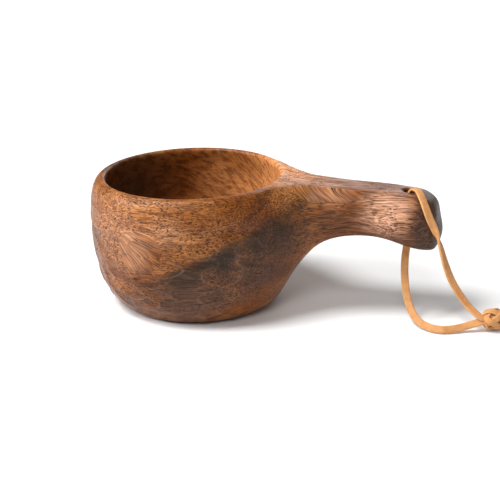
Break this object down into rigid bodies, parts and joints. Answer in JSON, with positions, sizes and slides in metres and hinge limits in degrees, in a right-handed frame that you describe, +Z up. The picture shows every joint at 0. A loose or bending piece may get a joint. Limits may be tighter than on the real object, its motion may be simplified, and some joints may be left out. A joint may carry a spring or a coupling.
{
  "type": "wooden drinking cup with handle",
  "caption": "Carved wooden cup: round flat-based bowl with one straight handle, a hole through the handle's end and a knotted leather carrying thong.",
  "frame": {"origin": "centre of the bowl's flat base, on the surface the cup stands on", "axes": "+Z up out of the bowl's mouth, +X along the handle towards the thong hole"},
  "size_m": [0.2035, 0.0944, 0.06],
  "materials": {
    "oiled_wood": "oiled, satin, carved facets outside",
    "tan_leather": "natural vegetable-tanned lace, matt"
  },
  "bodies": {
    "cup": {"cup_body": "oiled_wood"},
    "thong": {"thong_upper_strand": "tan_leather", "thong_lower_strand": "tan_leather", "thong_knot": "tan_leather", "thong_tail_left": "tan_leather", "thong_tail_right": "tan_leather"}
  },
  "joints": [
    {"name": "thong_swing", "type": "hinge", "parent": "cup", "child": "thong", "pos_m": [0.097, 0, 0.046], "axis": [0, 0, 1], "range_deg": [-40, 40]}
  ]
}
